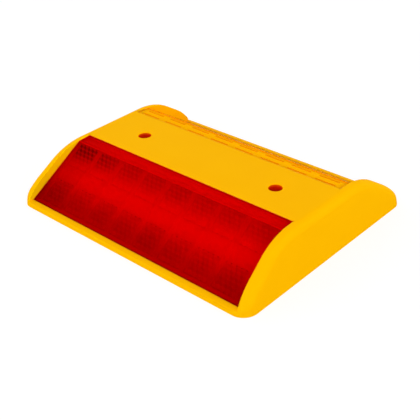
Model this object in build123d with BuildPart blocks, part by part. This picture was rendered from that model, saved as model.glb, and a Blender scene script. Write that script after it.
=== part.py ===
"""Flexible road stud: a crowned polyurethane moulding with a reflector bonded into each slope.

Millimetres. X runs across the traffic, -Y faces the red reflector, +Z is up.
The origin lies in the middle of the footprint, on the road.
"""

import os
from math import atan2, cos, radians, sin, tan

from build123d import *

# Moulding
length = 125.0
depth = 99.0
height = 20.2
rim_height = 2.2
corner_radius = 6.2
crown_radius = 29.6
end_draft = 9.4
shoulder_radius = 3.9

# Reflector seats between the end wings
wing_thickness = 4.4
wing_draft = 7.5
wing_stand = 3.7
wing_bend = 5.4
wing_foot_height = 1.75
ledge_width = 3.0
ledge_fall = 10.0
flange_start = 14.3
flange_width = 6.1
flange_fall = 0.3
seat_clearance = 0.3

# Lens: a sloped window with a flat flange along its top
lens_thickness = 2.0
lens_drop = 0.2
lens_foot_land = 0.85

# Prism pads on the inner face of the window
pad_columns = 8
pad_rows = 2
pad_divider = 2.8
pad_band = 7.2
pad_end_margin = 0.8
pad_relief = 0.45

# Cell tray behind the window
tray_wall = 0.6
tray_rim = 0.6
tray_plate = 1.2
tray_knee_gap = 0.2
cell_clearance = 0.3

# Adhesive bed
bond_thickness = 0.3

# Nail holes
hole_diameter = 5.6
hole_spacing = 71.5
hole_lip_radius = 0.5
boss_diameter = 12.0

# Ribbed underside
core_wall = 3.0
core_end_wall = 9.0
core_edge_height = 3.0
core_columns = 9
core_rows = 6
rib_thickness = 2.0

# Values worked out from the sizes above
half_length = length / 2
half_depth = depth / 2
lens_top = height - lens_drop
knee_y = flange_start + flange_width
knee_z = lens_top - flange_fall
foot_y = half_depth - ledge_width
foot_z = rim_height - lens_drop
foot_base_z = foot_z - lens_foot_land
flange_slope = atan2(flange_fall, flange_width)
slope = atan2(knee_z - foot_z, foot_y - knee_y)
pocket_depth = lens_thickness + tray_wall
tray_depth = pocket_depth + tray_plate
seat_depth = tray_depth + bond_thickness
groove_y = flange_start - seat_clearance
ledge_y = foot_y + seat_clearance
overrun = 5.0
ledge_end_y = half_depth + overrun
ledge_end_z = rim_height - (ledge_end_y - ledge_y) * tan(radians(ledge_fall))


def on_slope(run, sink):
    """Point (y, z) that lies run mm down the window from its knee and sink mm under its face."""
    return (
        knee_y + run * cos(slope) - sink * sin(slope),
        knee_z - run * sin(slope) - sink * cos(slope),
    )


def run_to_level(sink, level):
    """Distance down the window, sink mm under its face, at which a level is reached."""
    return (knee_z - sink * cos(slope) - level) / sin(slope)


def on_flange(y, sink):
    """Point (y, z) that lies sink mm under the flange's face."""
    return (y, lens_top - (y - flange_start) * tan(flange_slope) - sink / cos(flange_slope))


def at_knee(sink):
    """Point (y, z) where flange and window meet, sink mm under their faces."""
    return on_slope(sink * tan((slope - flange_slope) / 2), sink)


def wall_x(level, clearance):
    """Half-length of the space between the wings at a level, less a clearance."""
    return half_length - wing_thickness - level * tan(radians(wing_draft)) - clearance


def between_wings(outline, clearance):
    """Solid of a (y, z) outline that fills the space between the drafted wing walls."""
    low = -overrun
    high = height + overrun
    with BuildPart() as filling:
        with BuildSketch(Plane.YZ):
            with BuildLine():
                Polyline(outline, close=True)
            make_face()
        extrude(amount=length, both=True)
        with BuildSketch(Plane.XZ):
            with BuildLine():
                Polyline(
                    (-wall_x(low, clearance), low),
                    (wall_x(low, clearance), low),
                    (wall_x(high, clearance), high),
                    (-wall_x(high, clearance), high),
                    close=True,
                )
            make_face()
        extrude(amount=depth, both=True, mode=Mode.INTERSECT)
    return filling.part


# Outlines in (y, z), drawn for the +Y slope
seat_knee_run = (lens_thickness + bond_thickness) * tan((slope - flange_slope) / 2)
tray_start = seat_knee_run + tray_knee_gap + bond_thickness
window_foot = on_slope(run_to_level(lens_thickness, foot_base_z), lens_thickness)
tray_foot = on_slope(run_to_level(tray_depth, foot_base_z), tray_depth)
seat_base_z = foot_base_z - bond_thickness

lens_outline = [
    on_flange(flange_start, 0),
    (knee_y, knee_z),
    (foot_y, foot_z),
    (foot_y, foot_base_z),
    window_foot,
    at_knee(lens_thickness),
    on_flange(flange_start, lens_thickness),
]
tray_outline = [
    on_slope(tray_start, lens_thickness),
    window_foot,
    tray_foot,
    on_slope(tray_start, tray_depth),
]
seat_floor = [
    on_flange(groove_y, lens_thickness + bond_thickness),
    at_knee(lens_thickness + bond_thickness),
    on_slope(tray_start - bond_thickness, lens_thickness + bond_thickness),
    on_slope(tray_start - bond_thickness, seat_depth),
    on_slope(run_to_level(seat_depth, seat_base_z), seat_depth),
    (ledge_y, seat_base_z),
]
bond_outline = seat_floor + [
    (ledge_y, foot_base_z),
    tray_foot,
    on_slope(tray_start, tray_depth),
    on_slope(tray_start, lens_thickness),
    at_knee(lens_thickness),
    on_flange(groove_y, lens_thickness),
]
seat_outline = seat_floor + [
    (ledge_y, rim_height),
    (ledge_end_y, ledge_end_z),
    (ledge_end_y, height + overrun),
    (groove_y, height + overrun),
]

# Pad and cell grid on the window's inner face, its Y running up the slope and its Z into the stud
cell_top = tray_start + tray_rim
cell_bottom = run_to_level(pocket_depth, foot_base_z) - tray_rim
cell_band = pad_band - 2 * cell_clearance
cell_height = (cell_bottom - cell_top + cell_band) / pad_rows - cell_band
pad_height = cell_height - 2 * cell_clearance
pad_row_pitch = cell_height + cell_band
pad_pitch = 2 * (wall_x(lens_top, seat_clearance) - pad_end_margin) / pad_columns
pad_width = pad_pitch - pad_divider
cell_width = pad_width + 2 * cell_clearance
grid_y, grid_z = on_slope((cell_top + cell_bottom) / 2, lens_thickness)
window_inner = Plane(
    origin=(0, grid_y, grid_z), x_dir=(1, 0, 0), z_dir=(0, -sin(slope), -cos(slope))
)

# Blanks that fit between the wings, and the room that the body leaves for them
lens_blank = between_wings(lens_outline, seat_clearance)
tray_blank = between_wings(tray_outline, seat_clearance)
bond_blank = between_wings(bond_outline, seat_clearance)
seat_room = between_wings(seat_outline, 0)

# Amber lens
with BuildPart() as rear_lens:
    add(lens_blank)
    with BuildSketch(window_inner):
        with GridLocations(pad_pitch, pad_row_pitch, pad_columns, pad_rows):
            Rectangle(pad_width, pad_height)
    extrude(amount=pad_relief)

# Cell tray, its rims against the lens
with BuildPart() as rear_backing:
    add(tray_blank)
    with BuildSketch(window_inner):
        with GridLocations(pad_pitch, pad_row_pitch, pad_columns, pad_rows):
            Rectangle(cell_width, cell_height)
    extrude(amount=tray_wall, mode=Mode.SUBTRACT)

# Adhesive bed between the reflector and its seat
with BuildPart() as rear_bond:
    add(bond_blank)

# Red reflector, the same pieces facing the other way
with BuildPart() as front_lens:
    mirror(rear_lens.part, about=Plane.XZ)

with BuildPart() as front_backing:
    mirror(rear_backing.part, about=Plane.XZ)

with BuildPart() as front_bond:
    mirror(rear_bond.part, about=Plane.XZ)

# Hollow of the underside: a grid of cells under the seats and the crown, bosses left standing
core_top = knee_z - lens_thickness - bond_thickness - core_wall
core_sink = seat_depth + core_wall
core_half_length = half_length - core_end_wall
core_foot_y = on_slope(run_to_level(core_sink, core_edge_height), core_sink)[0]
core_crown_y = on_slope(run_to_level(core_sink, core_top), core_sink)[0]
cell_length = (2 * core_half_length + rib_thickness) / core_columns - rib_thickness
cell_depth = (2 * core_foot_y + rib_thickness) / core_rows - rib_thickness

with BuildPart() as core:
    with BuildSketch():
        with GridLocations(
            cell_length + rib_thickness, cell_depth + rib_thickness, core_columns, core_rows
        ):
            Rectangle(cell_length, cell_depth)
    extrude(amount=core_top)
    with BuildSketch(Plane.YZ):
        with BuildLine():
            Polyline(
                (-core_foot_y, 0),
                (core_foot_y, 0),
                (core_foot_y, core_edge_height),
                (core_crown_y, core_top),
                (-core_crown_y, core_top),
                (-core_foot_y, core_edge_height),
                close=True,
            )
        make_face()
    extrude(amount=length, both=True, mode=Mode.INTERSECT)
    with BuildSketch():
        with GridLocations(hole_spacing, 0, 2, 1):
            Circle(boss_diameter / 2)
    extrude(amount=core_top, mode=Mode.SUBTRACT)

# Body: the wing ridges run parallel to the windows and bend into the flat top and down to the ledges
crown_corner = on_slope(run_to_level(-wing_stand, height), -wing_stand)
bend_y = half_depth - wing_bend
bend_corner = (bend_y, height - (bend_y - crown_corner[0]) * tan(slope))
wing_foot = (half_depth, wing_foot_height)

with BuildPart() as body:
    with BuildSketch():
        RectangleRounded(length, depth, corner_radius)
    extrude(amount=height, taper=end_draft)
    with BuildSketch(Plane.YZ):
        with BuildLine():
            FilletPolyline((0, height), crown_corner, bend_corner, wing_foot, radius=crown_radius)
            Polyline(wing_foot, (half_depth, 0), (0, 0))
            mirror(about=Plane.YZ)
        make_face()
    extrude(amount=length, both=True, mode=Mode.INTERSECT)
    crown = body.faces().filter_by(lambda face: face.bounding_box().min.Z > wing_foot_height / 2)
    walls = body.faces() - crown
    fillet(crown.edges() & walls.edges(), shoulder_radius)
    add(seat_room, mode=Mode.SUBTRACT)
    mirror(seat_room, about=Plane.XZ, mode=Mode.SUBTRACT)
    add(core.part, mode=Mode.SUBTRACT)
    with Locations(Plane.XY.offset(height)):
        with GridLocations(hole_spacing, 0, 2, 1):
            Hole(hole_diameter / 2)
    hole_lips = body.edges().filter_by(GeomType.CIRCLE).group_by(Axis.Z)[-1]
    fillet(hole_lips, hole_lip_radius)

pieces = {
    "body": body,
    "front_lens": front_lens,
    "front_backing": front_backing,
    "front_bond": front_bond,
    "rear_lens": rear_lens,
    "rear_backing": rear_backing,
    "rear_bond": rear_bond,
}
os.makedirs("parts", exist_ok=True)
for name, piece in pieces.items():
    piece.part.label = name
    export_step(piece.part, f"parts/{name}.step")
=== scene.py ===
"""Flexible road stud: a yellow polyurethane moulding with a red and an amber prism reflector.

Metres, in the part's own frame: X across the traffic, -Y towards the red reflector, +Z up.
The origin lies in the middle of the footprint, on the road.
"""

import math

import bmesh
import bpy
from mathutils import Matrix, Vector


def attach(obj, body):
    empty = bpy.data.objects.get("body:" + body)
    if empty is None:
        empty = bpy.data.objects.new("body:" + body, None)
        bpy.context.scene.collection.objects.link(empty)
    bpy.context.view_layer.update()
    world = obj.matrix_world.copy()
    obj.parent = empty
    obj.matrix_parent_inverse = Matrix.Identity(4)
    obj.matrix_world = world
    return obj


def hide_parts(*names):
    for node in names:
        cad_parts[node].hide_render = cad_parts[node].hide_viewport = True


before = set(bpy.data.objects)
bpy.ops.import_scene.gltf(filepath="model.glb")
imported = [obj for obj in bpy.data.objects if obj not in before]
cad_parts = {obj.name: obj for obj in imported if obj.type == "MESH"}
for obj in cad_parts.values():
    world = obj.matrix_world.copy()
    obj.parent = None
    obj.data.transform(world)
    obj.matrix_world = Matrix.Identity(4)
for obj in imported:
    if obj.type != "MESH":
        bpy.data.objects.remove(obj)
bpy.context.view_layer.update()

# Sizes of the part that the finish follows
MM = 0.001
HALF_LENGTH = 62.5 * MM
TOP_LEVEL = 20.2 * MM
HOLE_X = 35.75 * MM
HOLE_RADIUS = 2.8 * MM
WING_THICKNESS = 4.4 * MM
WING_DRAFT = math.radians(7.5)
SEAT_CLEARANCE = 0.3 * MM
FLANGE_START = 14.3 * MM
FLANGE_TOP = 20.0 * MM
KNEE_Y = 20.4 * MM
KNEE_Z = 19.7 * MM
FOOT_Y = 46.5 * MM
FOOT_Z = 2.0 * MM
FOOT_BASE_Z = 1.15 * MM
LENS_THICKNESS = 2.0 * MM
PAD_COLUMNS = 8
PAD_ROWS = 2
PAD_PITCH = 13.59 * MM
PAD_ROW_PITCH = 18.2 * MM
PAD_WIDTH = 10.79 * MM
PAD_HEIGHT = 10.7 * MM
PAD_MIDDLE = 15.0 * MM

# Layers under a lens face: clear skin, sheet with ribs on it, prisms in its openings, and a floor
LAYER_GAP = 0.02 * MM
SKIN_THICKNESS = 0.2 * MM
SHEET_DEPTH = 0.34 * MM
SHEET_THICKNESS = 0.05 * MM
PRISM_TOP = 0.39 * MM
FIELD_FLOOR = 1.8 * MM
FIELD_MARGIN = 0.08 * MM

# Prisms
PRISM_SIDES = 6
PRISM_FACES = 3
PRISM_PITCH = 2.4 * MM
PRISM_ROW_PITCH = 1.8 * MM
PRISM_RELIEF = 0.08 * MM
PRISMS_ACROSS = 5
PRISMS_DOWN = 6
PRISM_SEED = 3
PAD_SEED = 11

# Ribs under the flange and under the knee
RIB_LENGTH = 9.6 * MM
RIB_WIDTH = 0.7 * MM
RIB_HEIGHT = 0.1 * MM
RIB_ROWS = 2
RIB_ROW_PITCH = 3.1 * MM
RIB_MIDDLE_Y = 17.0 * MM
KNEE_RIB_WIDTH = 0.5 * MM
KNEE_RIB_TOP = 0.04 * MM

# Bead of adhesive in the joint round a lens
BEAD_SINK = 0.04 * MM
BEAD_HEIGHT = 0.5 * MM
BEAD_GAP = 0.06 * MM

# Edges
BODY_EDGE = 0.35 * MM
LENS_EDGE = 0.15 * MM
EDGE_SEGMENTS = 3
EDGE_WEIGHT = "bevel_weight_edge"
SHARP_ANGLE = math.radians(30)
FLAT_ANGLE = math.radians(0.5)
MERGE_DISTANCE = 0.001 * MM
BASE_LEVEL = 0.5 * MM

# Body faces with a material of their own, by their place in the body's list of materials: painted shade in
# the nail holes, painted light on the front wing walls
HOLE_PAINTED_SHADE = 1
WING_PAINTED_LIGHT = 2

# Least part of a wing wall's normal that lies along X
WALL_FACING = 0.5

SLOPE = math.atan2(KNEE_Z - FOOT_Z, FOOT_Y - KNEE_Y)
FLANGE_SLOPE = math.atan2(FLANGE_TOP - KNEE_Z, KNEE_Y - FLANGE_START)


def steps(*pairs):
    """Grey stops, each a place in millimetres and a share."""
    return [(spot * MM, (share, share, share)) for spot, share in pairs]


def reds(*pairs):
    """Red stops, each a place in millimetres and a strength."""
    return [(spot * MM, (strength, 0.0, 0.0)) for spot, strength in pairs]


# Tones of the reflector fields: pads; colours by level, with a painted highlight between pad rows; painted
# shade at the red field's ends and top -X corner
DIVIDER_HALF = 1.0 * MM
PAD_FADE = 2.2 * MM
PAD_TONE = 0.94
PRISM_TONES = (0.7, 1.1)
PAD_LEVELS = steps(
    (1.0, 0.3), (2.6, 0.3), (4.2, 1.0), (6.0, 1.0), (12.0, 0.0),
    (17.2, 0.75), (18.8, 0.75), (19.25, 0.0), (19.7, 0.0),
)
# Red colours by level: the field's own red, with a painted highlight over the flat web in the band between
# the pad rows
RED_LEVELS = reds(
    (1.0, 0.4), (4.4, 0.41), (12.5, 0.72), (17.8, 0.5), (19.25, 0.48), (19.45, 0.74), (19.7, 0.74),
)
# Amber colours by level, likewise with a painted highlight in the band between the pad rows
AMBER_LEVELS = [
    (1.0 * MM, (0.9, 0.38, 0.01)),
    (11.6 * MM, (0.98, 0.54, 0.02)),
    (18.9 * MM, (0.9, 0.38, 0.01)),
    (19.45 * MM, (1.0, 0.57, 0.0)),
    (19.7 * MM, (1.0, 0.57, 0.0)),
]
# Painted shade that darkens the red field towards both ends, beside the wing walls
RED_END_SHADE = steps((-58, 0.76), (-32, 1.0), (44, 1.0), (58, 0.8))
# Painted shade on the red field's prisms near the top at the -X end
RED_CORNER_SHADE = {
    "X": steps((-58, 0.7), (-45, 0.6), (-25, 0.1), (58, 0.0)),
    "Z": steps((14.0, 0.0), (17.5, 1.0), (19.7, 1.0)),
}

# Finishes: a grain, in grains a metre and detail, and the range of roughness that it makes
CLOUDS = (60, 3)
GRAIN_DETAIL = 4
GRAIN_DEPTH = 0.05 * MM
BORE_GRAIN = (900, 3)
BORE_ROUGHNESS = (0.6, 0.75)
SKIN_GRAIN = (900, 5)
SKIN_ROUGHNESS = (0.02, 0.09)
SKIN_REFRACTION = 1.02
SHEET_GRAIN = (700, 3)
SHEET_ROUGHNESS = (0.35, 0.5)
PRISM_GRAIN = (500, 3)
PRISM_ROUGHNESS = (0.25, 0.5)

# Level at which the painted shade on a nail hole's wall is at its darkest
BORE_DARK = TOP_LEVEL - 1.5 * MM

# Floor and light
TENT_HORIZON = 3.3
TENT_FADE = 1.5
FLOOR_REACH = 3.0
FLOOR_TONE = 0.28
FLOOR_GLOW = 0.76
FLOOR_ROUGHNESS = 0.9
LAMP_PLACE = (0.2, -0.3, 1.0)
LAMP_ENERGY = 3.3
LAMP_SIZE = 0.8

# Camera at the photograph's viewpoint
AZIMUTH = math.radians(44.086)
ELEVATION = math.radians(32.099)
ROLL = math.radians(-3.121)
DISTANCE = 350.446 * MM
SHIFT_RIGHT = 0.659 * MM
SHIFT_UP = -3.323 * MM
FOCAL_LENGTH = 72.141
SENSOR_WIDTH = 36
CLIP_START = 0.01

# Sockets of the Mix node, whose inputs share their names
MIX_FACTOR = 0
MIX_NUMBERS = (2, 3)
MIX_NUMBER = 0
MIX_COLOURS = (6, 7)
MIX_COLOUR = 2


# Places on a lens
def on_slope(run, sink):
    """Point (y, z) that lies run down the window from its knee and sink under its face."""
    return (
        KNEE_Y + run * math.cos(SLOPE) - sink * math.sin(SLOPE),
        KNEE_Z - run * math.sin(SLOPE) - sink * math.cos(SLOPE),
    )


def run_to_level(sink, level):
    """Distance down the window, sink under its face, at which a level is reached."""
    return (KNEE_Z - sink * math.cos(SLOPE) - level) / math.sin(SLOPE)


def on_flange(y, sink):
    """Point (y, z) that lies sink under the flange's face."""
    return (y, FLANGE_TOP - (y - FLANGE_START) * math.tan(FLANGE_SLOPE) - sink / math.cos(FLANGE_SLOPE))


def knee_run(sink):
    """Distance down the window, sink under its face, at which flange and window meet."""
    return sink * math.tan((SLOPE - FLANGE_SLOPE) / 2)


def run_to_foot(sink):
    """Distance down the window, sink under its face, at which its front edge is reached."""
    return (FOOT_Y - KNEE_Y + sink * math.sin(SLOPE)) / math.cos(SLOPE)


def wall_x(level, clearance):
    """Half-length of the space between the wings at a level, less a clearance."""
    return HALF_LENGTH - WING_THICKNESS - level * math.tan(WING_DRAFT) - clearance


# Nodes
def put(tree, kind, inputs=None, **settings):
    """New node with its settings, each input linked to a socket or set to a value."""
    node = tree.nodes.new(kind)
    for name, value in settings.items():
        setattr(node, name, value)
    for key, value in (inputs or {}).items():
        if isinstance(value, bpy.types.NodeSocket):
            tree.links.new(value, node.inputs[key])
        else:
            node.inputs[key].default_value = value
    return node


def maths(tree, operation, a, b):
    """Result of an operation on two numbers or sockets."""
    return put(tree, "ShaderNodeMath", {0: a, 1: b}, operation=operation).outputs[0]


def own_place(tree, axis):
    """Place along an axis of the part."""
    place = put(tree, "ShaderNodeTexCoord").outputs["Object"]
    return put(tree, "ShaderNodeSeparateXYZ", {0: place}).outputs[axis]


def noise(tree, scale, detail):
    """Noise in the piece's own coordinates, its scale in grains a metre."""
    place = put(tree, "ShaderNodeTexCoord").outputs["Object"]
    grain = {"Vector": place, "Scale": scale, "Detail": detail}
    return put(tree, "ShaderNodeTexNoise", grain).outputs["Fac"]


def spread(tree, factor, low, high):
    """Factor stretched from 0..1 to low..high."""
    reach = {"Value": factor, "To Min": low, "To Max": high}
    return put(tree, "ShaderNodeMapRange", reach).outputs["Result"]


def share_between(tree, value, start, end, **settings):
    """Share of the way from start to end that a value has come."""
    reach = {"Value": value, "From Min": start, "From Max": end}
    return put(tree, "ShaderNodeMapRange", reach, **settings).outputs["Result"]


def blend(tree, factor, without, full):
    """Number that runs from one value or socket to another with a factor."""
    low, high = MIX_NUMBERS
    return put(tree, "ShaderNodeMix", {MIX_FACTOR: factor, low: without, high: full}).outputs[MIX_NUMBER]


def two_tone(tree, factor, dark, light):
    """Colour that runs from dark to light with a factor."""
    first, second = MIX_COLOURS
    tones = {MIX_FACTOR: factor, first: (*dark, 1), second: (*light, 1)}
    return put(tree, "ShaderNodeMix", tones, data_type="RGBA").outputs[MIX_COLOUR]


def tinted(tree, colour, tint):
    """Product of two colours."""
    first, second = MIX_COLOURS
    tones = {MIX_FACTOR: 1, first: colour, second: tint}
    return put(tree, "ShaderNodeMix", tones, data_type="RGBA", blend_type="MULTIPLY").outputs[MIX_COLOUR]


def along(tree, axis, stops):
    """Colour along an axis of the part, eased between stops that each hold a place and a colour."""
    start, start_colour = stops[0]
    end, end_colour = stops[-1]
    share = share_between(tree, own_place(tree, axis), start, end)
    ramp = put(tree, "ShaderNodeValToRGB", {"Fac": share})
    ramp.color_ramp.interpolation = "EASE"
    points = ramp.color_ramp.elements
    points[0].color = (*start_colour, 1)
    points[-1].color = (*end_colour, 1)
    for spot, colour in stops[1:-1]:
        point = points.new((spot - start) / (end - start))
        point.color = (*colour, 1)
    return ramp.outputs["Color"]


# Materials
def new_material(name):
    """Empty node material with its output and a Principled shader joined to it."""
    material = bpy.data.materials.new(name)
    material.use_nodes = True
    tree = material.node_tree
    tree.nodes.clear()
    shader = put(tree, "ShaderNodeBsdfPrincipled")
    put(tree, "ShaderNodeOutputMaterial", {"Surface": shader.outputs["BSDF"]})
    return material, tree, shader


def moulded(name, dark, light, roughness, specular, grain, bump):
    """Moulded surface: clouded colour, uneven gloss and a fine grain."""
    material, tree, shader = new_material(name)
    clouds = noise(tree, *CLOUDS)
    fine = noise(tree, grain, GRAIN_DETAIL)
    tree.links.new(two_tone(tree, clouds, dark, light), shader.inputs["Base Color"])
    tree.links.new(spread(tree, fine, *roughness), shader.inputs["Roughness"])
    relief = put(tree, "ShaderNodeBump", {"Height": fine, "Strength": bump, "Distance": GRAIN_DEPTH})
    tree.links.new(relief.outputs["Normal"], shader.inputs["Normal"])
    shader.inputs["Specular IOR Level"].default_value = specular
    return material


def bore_material(name, deep, lip):
    """Wall of a nail hole in painted shade, red-brown in place of the yellow, lighter at its lip and darker
    where little light reaches.
    """
    material, tree, shader = new_material(name)
    share = share_between(tree, own_place(tree, "Z"), BORE_DARK, TOP_LEVEL)
    tree.links.new(two_tone(tree, share, deep, lip), shader.inputs["Base Color"])
    tree.links.new(spread(tree, noise(tree, *BORE_GRAIN), *BORE_ROUGHNESS), shader.inputs["Roughness"])
    shader.inputs["Specular IOR Level"].default_value = 0.0
    return material


def clear_skin(name, tint):
    """Clear tinted acrylic with faint handling marks in its gloss."""
    material, tree, shader = new_material(name)
    shader.inputs["Base Color"].default_value = (*tint, 1)
    shader.inputs["Transmission Weight"].default_value = 1
    shader.inputs["IOR"].default_value = SKIN_REFRACTION
    tree.links.new(spread(tree, noise(tree, *SKIN_GRAIN), *SKIN_ROUGHNESS), shader.inputs["Roughness"])
    return material


def pad_share(tree):
    """1 inside a pad, eased to 0 at the dividers and in the light band."""
    from_divider = maths(tree, "PINGPONG", own_place(tree, "X"), PAD_PITCH / 2)
    pad_start = DIVIDER_HALF + PAD_FADE
    column = share_between(tree, from_divider, DIVIDER_HALF, pad_start, interpolation_type="SMOOTHSTEP")
    return maths(tree, "MULTIPLY", column, along(tree, "Z", PAD_LEVELS))


def field_colour(tree, levels, end_shade):
    """Colour of a reflector field, by level, with any painted shade towards its ends, and darker in its
    pads.
    """
    colour = along(tree, "Z", levels)
    if end_shade:
        colour = tinted(tree, colour, along(tree, "X", end_shade))
    return tinted(tree, colour, spread(tree, pad_share(tree), 1.0, PAD_TONE))


def sheet_material(name, levels, end_shade=None):
    """Flat sheet of the reflector, lighter in the band between the pads, partly as the flat web and partly
    as a painted highlight.
    """
    material, tree, shader = new_material(name)
    tree.links.new(field_colour(tree, levels, end_shade), shader.inputs["Base Color"])
    tree.links.new(spread(tree, noise(tree, *SHEET_GRAIN), *SHEET_ROUGHNESS), shader.inputs["Roughness"])
    shader.inputs["Specular IOR Level"].default_value = 0.0
    return material


def prism_strength(tree, corner_shade):
    """Brightness of a prism face, from the painted reflection tone of its face and the tones of prism and
    pad, less where painted shade darkens a corner of the field.
    """
    tones = [
        put(tree, "ShaderNodeAttribute", attribute_name=attribute).outputs["Fac"]
        for attribute in ("facet", "prism_tone", "pad_tone")
    ]
    facet, prism, pad = tones
    total = maths(tree, "ADD", maths(tree, "ADD", facet, prism), pad)
    share = share_between(tree, total, 0.0, len(tones))
    strength = blend(tree, pad_share(tree), 1.0, spread(tree, share, *PRISM_TONES))
    # Painted shade: darkens the prisms in one corner of the field, most on faces of the lowest tone
    if corner_shade:
        corner = maths(tree, "MULTIPLY", along(tree, "X", corner_shade["X"]), along(tree, "Z", corner_shade["Z"]))
        dark = maths(tree, "MULTIPLY", corner, maths(tree, "SUBTRACT", 1.0, facet))
        strength = maths(tree, "MULTIPLY", strength, maths(tree, "SUBTRACT", 1.0, dark))
    return strength


def prism_material(name, levels, end_shade=None, corner_shade=None):
    """Prism faces in the colour of their field, each as bright as its tones make it."""
    material, tree, shader = new_material(name)
    colour = tinted(tree, field_colour(tree, levels, end_shade), prism_strength(tree, corner_shade))
    tree.links.new(colour, shader.inputs["Base Color"])
    tree.links.new(spread(tree, noise(tree, *PRISM_GRAIN), *PRISM_ROUGHNESS), shader.inputs["Roughness"])
    shader.inputs["Specular IOR Level"].default_value = 0.0
    return material


POLYURETHANE = moulded(
    "yellow_polyurethane", dark=(0.95, 0.455, 0.0), light=(0.98, 0.49, 0.0),
    roughness=(0.5, 0.65), specular=0.004, grain=1400, bump=0.06,
)
# Painted light: a lighter copy of the yellow moulding for the front wing walls, which get less light than
# the rest
WING_WALL_PAINTED_LIGHT = moulded(
    "bright_wing_wall", dark=(0.99, 0.59, 0.0), light=(1.0, 0.65, 0.0),
    roughness=(0.5, 0.65), specular=0.004, grain=1400, bump=0.06,
)
# Nail hole walls in painted shade
BORE_PAINTED_SHADE = bore_material("nail_hole_wall", deep=(0.8, 0.02, 0.0), lip=(0.85, 0.15, 0.0))
ADHESIVE = moulded(
    "cured_adhesive", dark=(0.9, 0.36, 0.005), light=(0.95, 0.42, 0.01),
    roughness=(0.5, 0.7), specular=0.05, grain=900, bump=0.15,
)
TRAY = moulded(
    "off_white_tray", dark=(0.66, 0.65, 0.62), light=(0.72, 0.71, 0.68),
    roughness=(0.5, 0.65), specular=0.3, grain=900, bump=0.08,
)
RED_RIB = moulded(
    "red_rib", dark=(0.63, 0.0, 0.0), light=(0.67, 0.0, 0.0),
    roughness=(0.3, 0.45), specular=0.0, grain=700, bump=0.05,
)
AMBER_RIB = moulded(
    "amber_rib", dark=(0.9, 0.28, 0.0), light=(0.94, 0.33, 0.0),
    roughness=(0.3, 0.45), specular=0.0, grain=700, bump=0.05,
)
LENSES = {
    "front": {
        "skin": clear_skin("clear_red_acrylic", (0.93, 0.02, 0.02)),
        "sheet": sheet_material("red_sheet", RED_LEVELS, RED_END_SHADE),
        "prism": prism_material("red_prisms", RED_LEVELS, RED_END_SHADE, RED_CORNER_SHADE),
        "rib": RED_RIB,
    },
    "rear": {
        "skin": clear_skin("clear_amber_acrylic", (1.0, 0.8, 0.04)),
        "sheet": sheet_material("amber_sheet", AMBER_LEVELS),
        "prism": prism_material("amber_prisms", AMBER_LEVELS),
        "rib": AMBER_RIB,
    },
}


# Pieces
def new_piece(name, shell, smooth=True):
    """Object of a finished shell, its normals outward and its faces smooth or flat."""
    bmesh.ops.recalc_face_normals(shell, faces=shell.faces)
    mesh = bpy.data.meshes.new(name)
    for face in shell.faces:
        face.smooth = smooth
    shell.to_mesh(mesh)
    shell.free()
    piece = bpy.data.objects.new(name, mesh)
    bpy.context.collection.objects.link(piece)
    return piece


def settle(piece):
    """Makes a piece's modifiers part of its mesh."""
    depsgraph = bpy.context.evaluated_depsgraph_get()
    mesh = bpy.data.meshes.new_from_object(piece.evaluated_get(depsgraph))
    piece.modifiers.clear()
    piece.data = mesh


def soften(piece, width):
    """Rounds a piece's weighted edges and keeps its flat faces flat."""
    bevel = piece.modifiers.new("edges", "BEVEL")
    bevel.width = width
    bevel.segments = EDGE_SEGMENTS
    bevel.limit_method = "WEIGHT"
    bevel.use_clamp_overlap = False
    weights = piece.modifiers.new("face_weights", "WEIGHTED_NORMAL")
    weights.keep_sharp = True
    settle(piece)


def in_hole(place):
    """Whether a point lies on the wall of a nail hole."""
    return math.hypot(abs(place.x) - HOLE_X, place.y) < HOLE_RADIUS + MERGE_DISTANCE


def on_front_wing(place):
    """Whether a point lies on the wall of a wing beside the red lens."""
    return place.y < 0 and abs(abs(place.x) - wall_x(place.z, 0)) < MERGE_DISTANCE


def moulded_body():
    """The moulding's own form with soft edges, its hole walls marked for painted shade and its front wing
    walls for painted light.
    """
    shell = bmesh.new()
    shell.from_mesh(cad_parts["body"].data)
    bmesh.ops.remove_doubles(shell, verts=shell.verts, dist=MERGE_DISTANCE)
    bmesh.ops.dissolve_limit(shell, angle_limit=FLAT_ANGLE, verts=shell.verts, edges=shell.edges)
    weight = shell.edges.layers.float.new(EDGE_WEIGHT)
    for edge in shell.edges:
        angle = edge.calc_face_angle_signed()
        edge.smooth = abs(angle) < SHARP_ANGLE
        raised = max(vert.co.z for vert in edge.verts) > BASE_LEVEL
        if angle > SHARP_ANGLE and raised:
            edge[weight] = 1
    for face in shell.faces:
        if all(in_hole(vert.co) for vert in face.verts):
            face.material_index = HOLE_PAINTED_SHADE
        elif abs(face.normal.x) > WALL_FACING and all(on_front_wing(vert.co) for vert in face.verts):
            face.material_index = WING_PAINTED_LIGHT
    piece = new_piece("stud_body", shell)
    soften(piece, BODY_EDGE)
    for vert in piece.data.vertices:
        vert.co.z = min(vert.co.z, TOP_LEVEL)
    return piece


def plate(name, outline, clearance, shown=0):
    """Closed plate of a (y, z) outline between the wing walls, its first shown points on the outer face."""
    shell = bmesh.new()
    left = [shell.verts.new((-wall_x(z, clearance), y, z)) for y, z in outline]
    right = [shell.verts.new((wall_x(z, clearance), y, z)) for y, z in outline]
    shell.faces.new(left)
    shell.faces.new(right)
    for i in range(len(outline)):
        shell.faces.new((left[i - 1], left[i], right[i], right[i - 1]))
    weight = shell.edges.layers.float.new(EDGE_WEIGHT)
    outer = set(left[:shown] + right[:shown])
    for edge in shell.edges:
        edge.smooth = outer.issuperset(edge.verts)
        edge[weight] = edge.smooth
    return new_piece(name, shell)


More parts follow.
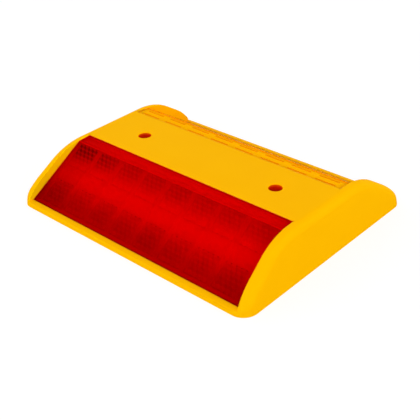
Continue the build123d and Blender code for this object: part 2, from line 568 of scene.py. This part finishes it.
def lens_skin(name):
    """Clear face of a lens: flange and window bent at the knee."""
    face = [on_flange(FLANGE_START, 0), (KNEE_Y, KNEE_Z), (FOOT_Y, FOOT_Z)]
    back = [
        on_slope(run_to_foot(SKIN_THICKNESS), SKIN_THICKNESS),
        on_slope(knee_run(SKIN_THICKNESS), SKIN_THICKNESS),
        on_flange(FLANGE_START, SKIN_THICKNESS),
    ]
    piece = plate(name, face + back, SEAT_CLEARANCE, shown=len(face))
    soften(piece, LENS_EDGE)
    return piece


def field_floor(name):
    """Plate that closes the back of the prism field."""
    start = knee_run(LENS_THICKNESS)
    end = run_to_level(LENS_THICKNESS, FOOT_BASE_Z)
    top = FIELD_FLOOR
    base = LENS_THICKNESS - LAYER_GAP
    outline = [on_slope(start, top), on_slope(end, top), on_slope(end, base), on_slope(start, base)]
    return plate(name, outline, SEAT_CLEARANCE + FIELD_MARGIN)


def pad_edges(count, middle, pitch, size):
    """Both edges of each pad along one way of the field."""
    starts = [middle + (index - (count - 1) / 2) * pitch - size / 2 for index in range(count)]
    return [edge for start in starts for edge in (start, start + size)]


def pierced_sheet(name, rows, open_rows, open_columns, thickness):
    """Sheet through rows of points, its upper face on them, open where an open row and column meet."""
    shell = bmesh.new()
    grid = [[shell.verts.new(point) for point in row] for row in rows]
    for row, (near, far) in enumerate(zip(grid, grid[1:])):
        for column in range(len(near) - 1):
            if row not in open_rows or column not in open_columns:
                shell.faces.new((near[column], far[column], far[column + 1], near[column + 1]))
    piece = new_piece(name, shell)
    if piece.data.polygons[0].normal.z < 0:
        piece.data.flip_normals()
    thick = piece.modifiers.new("thickness", "SOLIDIFY")
    thick.thickness = thickness
    thick.offset = -1
    settle(piece)
    return piece


def reflector_sheet(name):
    """Thin sheet behind flange and window, with an opening for each pad."""
    pad_runs = pad_edges(PAD_ROWS, PAD_MIDDLE, PAD_ROW_PITCH, PAD_HEIGHT)
    runs = [knee_run(SHEET_DEPTH), *pad_runs, run_to_foot(SHEET_DEPTH) - FIELD_MARGIN]
    places = [on_flange(FLANGE_START + FIELD_MARGIN, SHEET_DEPTH)]
    places += [on_slope(run, SHEET_DEPTH) for run in runs]
    lines = pad_edges(PAD_COLUMNS, 0, PAD_PITCH, PAD_WIDTH)
    rows = []
    for y, z in places:
        end = wall_x(z, SEAT_CLEARANCE + FIELD_MARGIN)
        rows.append([(x, y, z) for x in (-end, *lines, end)])
    pad_rows = range(2, 2 + len(pad_runs), 2)
    pad_columns = range(1, 1 + len(lines), 2)
    return pierced_sheet(name, rows, pad_rows, pad_columns, SHEET_THICKNESS)


def joint_bead(name):
    """Adhesive that stands in the joint between a lens and its seat, a frame open in its middle."""
    foot_z = FOOT_Z - BEAD_SINK
    places = [
        on_flange(FLANGE_START - SEAT_CLEARANCE + BEAD_GAP, BEAD_SINK),
        on_flange(FLANGE_START - BEAD_GAP, BEAD_SINK),
        on_slope(knee_run(BEAD_SINK), BEAD_SINK),
        (FOOT_Y + BEAD_GAP, foot_z),
        (FOOT_Y + SEAT_CLEARANCE - BEAD_GAP, foot_z),
    ]
    rows = []
    for y, z in places:
        outer = wall_x(z, BEAD_GAP)
        inner = wall_x(z, SEAT_CLEARANCE - BEAD_GAP)
        rows.append([(x, y, z) for x in (-outer, -inner, inner, outer)])
    return pierced_sheet(name, rows, open_rows=(1, 2), open_columns=(1,), thickness=BEAD_HEIGHT)


def knee_rib(name):
    """Solid rib under the bend between flange and window."""
    half = KNEE_RIB_WIDTH / 2
    base = SHEET_DEPTH - LAYER_GAP
    top_y, top_z = on_slope(knee_run(KNEE_RIB_TOP), KNEE_RIB_TOP)
    base_y, base_z = on_slope(knee_run(base), base)
    outline = [
        on_flange(top_y - half, KNEE_RIB_TOP),
        (top_y, top_z),
        on_slope(knee_run(KNEE_RIB_TOP) + half, KNEE_RIB_TOP),
        on_slope(knee_run(base) + half, base),
        (base_y, base_z),
        on_flange(base_y - half, base),
    ]
    return plate(name, outline, SEAT_CLEARANCE + FIELD_MARGIN)


def prism_cell(name):
    """Six-sided post whose top is a three-sided hollow corner, with a painted reflection tone on each of
    its faces, one of three by the way the face turns.
    """
    # Columns of hexagons lie sqrt(3) half-widths apart, rows 1.5 half-heights
    half_width = PRISM_PITCH / math.sqrt(3)
    half_height = PRISM_ROW_PITCH / 1.5
    depth = FIELD_FLOOR - PRISM_TOP
    shell = bmesh.new()
    facet = shell.faces.layers.float.new("facet")
    rim = []
    base = []
    for corner in range(PRISM_SIDES):
        turn = math.tau * (corner + 0.5) / PRISM_SIDES
        x = half_width * math.cos(turn)
        y = half_height * math.sin(turn)
        rim.append(shell.verts.new((x, y, -PRISM_RELIEF / 2 * (corner % 2))))
        base.append(shell.verts.new((x, y, -depth)))
    apex = shell.verts.new((0, 0, -PRISM_RELIEF))
    for corner in range(PRISM_SIDES):
        following = (corner + 1) % PRISM_SIDES
        face = shell.faces.new((apex, rim[corner], rim[following]))
        # Painted reflection: each of the three face directions gets its own brightness
        face[facet] = (corner + 1) // 2 % PRISM_FACES / (PRISM_FACES - 1)
        shell.faces.new((rim[following], rim[corner], base[corner], base[following]))
    shell.faces.new(base[::-1])
    return new_piece(name, shell, smooth=False)


def rib_bar(name):
    """Low bar with sloped ends."""
    shell = bmesh.new()
    bmesh.ops.create_cube(shell, size=1)
    for vert in shell.verts:
        rise = RIB_HEIGHT if vert.co.z > 0 else 0
        vert.co.x = math.copysign(RIB_LENGTH / 2 - rise, vert.co.x)
        vert.co.y = math.copysign(RIB_WIDTH / 2 - rise / 2, vert.co.y)
        vert.co.z = rise
    return new_piece(name, shell)


def spaced_copies_tree():
    """Geometry nodes that repeat a piece in columns and rows, each copy with a tone if that is named."""
    tree = bpy.data.node_groups.new("spaced_copies", "GeometryNodeTree")
    sockets = {
        "Geometry": "NodeSocketGeometry",
        "Columns": "NodeSocketInt",
        "Rows": "NodeSocketInt",
        "Column Pitch": "NodeSocketFloat",
        "Row Pitch": "NodeSocketFloat",
        "Stagger": "NodeSocketFloat",
        "Tone Name": "NodeSocketString",
        "Seed": "NodeSocketInt",
        "Finish": "NodeSocketMaterial",
    }
    for name, kind in sockets.items():
        tree.interface.new_socket(name, in_out="INPUT", socket_type=kind)
    tree.interface.new_socket("Geometry", in_out="OUTPUT", socket_type="NodeSocketGeometry")
    given = put(tree, "NodeGroupInput").outputs
    column_gaps = maths(tree, "SUBTRACT", given["Columns"], 1.0)
    row_gaps = maths(tree, "SUBTRACT", given["Rows"], 1.0)
    grid = put(tree, "GeometryNodeMeshGrid", {
        "Size X": maths(tree, "MULTIPLY", column_gaps, given["Column Pitch"]),
        "Size Y": maths(tree, "MULTIPLY", row_gaps, given["Row Pitch"]),
        "Vertices X": given["Columns"],
        "Vertices Y": given["Rows"],
    }).outputs["Mesh"]
    index = put(tree, "GeometryNodeInputIndex").outputs[0]
    row = maths(tree, "MODULO", index, given["Rows"])
    side = maths(tree, "SUBTRACT", maths(tree, "MODULO", row, 2.0), 0.5)
    shift = maths(tree, "MULTIPLY", side, given["Stagger"])
    offset = put(tree, "ShaderNodeCombineXYZ", {"X": shift}).outputs[0]
    points = put(tree, "GeometryNodeSetPosition", {"Geometry": grid, "Offset": offset}).outputs[0]
    copies = put(tree, "GeometryNodeInstanceOnPoints", {
        "Points": points,
        "Instance": given["Geometry"],
    }).outputs[0]
    tone = put(tree, "FunctionNodeRandomValue", {"Seed": given["Seed"]}, data_type="FLOAT").outputs[1]
    toned = put(tree, "GeometryNodeStoreNamedAttribute", {
        "Geometry": copies,
        "Name": given["Tone Name"],
        "Value": tone,
    }, data_type="FLOAT", domain="INSTANCE").outputs[0]
    real = put(tree, "GeometryNodeRealizeInstances", {"Geometry": toned}).outputs[0]
    finished = put(tree, "GeometryNodeSetMaterial", {
        "Geometry": real,
        "Material": given["Finish"],
    }).outputs[0]
    put(tree, "NodeGroupOutput", {"Geometry": finished})
    return tree


SPACED_COPIES = spaced_copies_tree()


def repeat(piece, name, **values):
    """Adds the spaced copies to a piece, with its named inputs set."""
    modifier = piece.modifiers.new(name, "NODES")
    modifier.node_group = SPACED_COPIES
    for socket in SPACED_COPIES.interface.items_tree:
        key = socket.name.lower().replace(" ", "_")
        if socket.in_out == "INPUT" and key in values:
            modifier[socket.identifier] = values[key]


def place_on(piece, point, tilt):
    """Moves a flat piece onto a (y, z) point of the rear slope, tilted by the slope's angle."""
    piece.data.transform(Matrix.Translation((0, *point)) @ Matrix.Rotation(-tilt, 4, "X"))


def prism_pads(name, finish):
    """Pads of prisms behind the window."""
    piece = prism_cell(name)
    piece.data.materials.append(finish)
    repeat(
        piece, "prisms", columns=PRISMS_ACROSS, rows=PRISMS_DOWN,
        column_pitch=PRISM_PITCH, row_pitch=PRISM_ROW_PITCH, stagger=PRISM_PITCH / 2,
        tone_name="prism_tone", seed=PRISM_SEED, finish=finish,
    )
    repeat(
        piece, "pads", columns=PAD_COLUMNS, rows=PAD_ROWS,
        column_pitch=PAD_PITCH, row_pitch=PAD_ROW_PITCH, stagger=0.0,
        tone_name="pad_tone", seed=PAD_SEED, finish=finish,
    )
    settle(piece)
    place_on(piece, on_slope(PAD_MIDDLE, PRISM_TOP), SLOPE)
    return piece


def flange_ribs(name, finish):
    """Broken lines of ribs under the flange, a length for each column of pads."""
    piece = rib_bar(name)
    piece.data.materials.append(finish)
    repeat(
        piece, "ribs", columns=PAD_COLUMNS, rows=RIB_ROWS,
        column_pitch=PAD_PITCH, row_pitch=RIB_ROW_PITCH, stagger=0.0, finish=finish,
    )
    settle(piece)
    place_on(piece, on_flange(RIB_MIDDLE_Y, SHEET_DEPTH + LAYER_GAP), FLANGE_SLOPE)
    return piece


def finish_piece(piece, materials):
    """Gives a piece the materials that it lacks and lets it ride on the part."""
    for material in materials:
        if material.name not in piece.data.materials:
            piece.data.materials.append(material)
    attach(piece, "root")


def lens(side):
    """All the pieces of one lens, which stand for its node, and the bead round it."""
    finish = LENSES[side]
    node = f"{side}_lens"
    skin = lens_skin(f"{node}_skin")
    skin.visible_shadow = False
    skin.visible_diffuse = False
    pieces = [
        (skin, finish["skin"]),
        (reflector_sheet(f"{node}_sheet"), finish["sheet"]),
        (knee_rib(f"{node}_knee_rib"), finish["rib"]),
        (field_floor(f"{node}_floor"), finish["sheet"]),
        (prism_pads(f"{node}_prisms", finish["prism"]), finish["prism"]),
        (flange_ribs(f"{node}_flange_ribs", finish["rib"]), finish["rib"]),
    ]
    bead = joint_bead(f"{side}_joint_bead")
    for piece, material in pieces:
        finish_piece(piece, [material])
        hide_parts(node)
    finish_piece(bead, [ADHESIVE])
    if side == "front":
        for piece in (bead, *(piece for piece, material in pieces)):
            piece.data.transform(Matrix.Rotation(math.pi, 4, "Z"))


# Surroundings
def seen_share(tree):
    """1 for rays that the camera sees by, straight, mirrored or through glass, and 0 for light rays."""
    ray = put(tree, "ShaderNodeLightPath").outputs
    seen = maths(tree, "MAXIMUM", ray["Is Camera Ray"], ray["Is Glossy Ray"])
    return maths(tree, "MAXIMUM", seen, ray["Is Transmission Ray"])


def light_tent():
    """White surroundings of strength 1 to the eye, whose light fades from the horizon to the zenith."""
    world = bpy.data.worlds.new("light_tent")
    bpy.context.scene.world = world
    world.use_nodes = True
    tree = world.node_tree
    tree.nodes.clear()
    way = put(tree, "ShaderNodeTexCoord").outputs["Generated"]
    rise = put(tree, "ShaderNodeSeparateXYZ", {0: way}).outputs["Z"]
    fade = maths(tree, "POWER", spread(tree, rise, 1.0, 0.0), TENT_FADE)
    strength = blend(tree, seen_share(tree), maths(tree, "MULTIPLY", fade, TENT_HORIZON), 1.0)
    backdrop = put(tree, "ShaderNodeBackground", {"Color": (1, 1, 1, 1), "Strength": strength})
    put(tree, "ShaderNodeOutputWorld", {"Surface": backdrop.outputs[0]})


def pale_floor():
    """Pale floor with a little glow of its own, so that it fades into the surroundings."""
    shell = bmesh.new()
    bmesh.ops.create_grid(shell, x_segments=1, y_segments=1, size=FLOOR_REACH)
    floor = new_piece("floor", shell)
    material, tree, shader = new_material("pale_floor")
    shader.inputs["Base Color"].default_value = (FLOOR_TONE, FLOOR_TONE, FLOOR_TONE, 1)
    shader.inputs["Roughness"].default_value = FLOOR_ROUGHNESS
    shader.inputs["Specular IOR Level"].default_value = 0.0
    shader.inputs["Emission Color"].default_value = (1, 1, 1, 1)
    tree.links.new(spread(tree, seen_share(tree), 0.0, FLOOR_GLOW), shader.inputs["Emission Strength"])
    floor.data.materials.append(material)


def soft_lamp():
    """Square lamp that faces the part."""
    lamp = bpy.data.objects.new("key", bpy.data.lights.new("key", "AREA"))
    bpy.context.collection.objects.link(lamp)
    lamp.location = LAMP_PLACE
    lamp.rotation_euler = lamp.location.to_track_quat("Z", "Y").to_euler()
    lamp.data.energy = LAMP_ENERGY
    lamp.data.size = LAMP_SIZE


def photo_camera():
    """Camera that looks at the part as the photograph does."""
    back = Vector((
        math.sin(AZIMUTH) * math.cos(ELEVATION),
        -math.cos(AZIMUTH) * math.cos(ELEVATION),
        math.sin(ELEVATION),
    ))
    level = Vector((0, 0, 1)).cross(back).normalized()
    upright = back.cross(level)
    right = level * math.cos(ROLL) + upright * math.sin(ROLL)
    up = upright * math.cos(ROLL) - level * math.sin(ROLL)
    camera = bpy.data.objects.new("camera", bpy.data.cameras.new("camera"))
    bpy.context.collection.objects.link(camera)
    turn = Matrix((right, up, back)).transposed().to_4x4()
    camera.matrix_world = Matrix.Translation(back * DISTANCE + right * SHIFT_RIGHT + up * SHIFT_UP) @ turn
    camera.data.lens = FOCAL_LENGTH
    camera.data.sensor_width = SENSOR_WIDTH
    camera.data.clip_start = CLIP_START
    bpy.context.scene.camera = camera


# The stud and its surroundings
body = moulded_body()
finish_piece(body, [POLYURETHANE, BORE_PAINTED_SHADE, WING_WALL_PAINTED_LIGHT])
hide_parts("body")
for side in ("front", "rear"):
    lens(side)
    for part, material in (("backing", TRAY), ("bond", ADHESIVE)):
        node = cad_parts[f"{side}_{part}"]
        node.data.materials.clear()
        node.data.materials.append(material)
light_tent()
pale_floor()
soft_lamp()
photo_camera()

bpy.context.scene.view_settings.view_transform = "Standard"
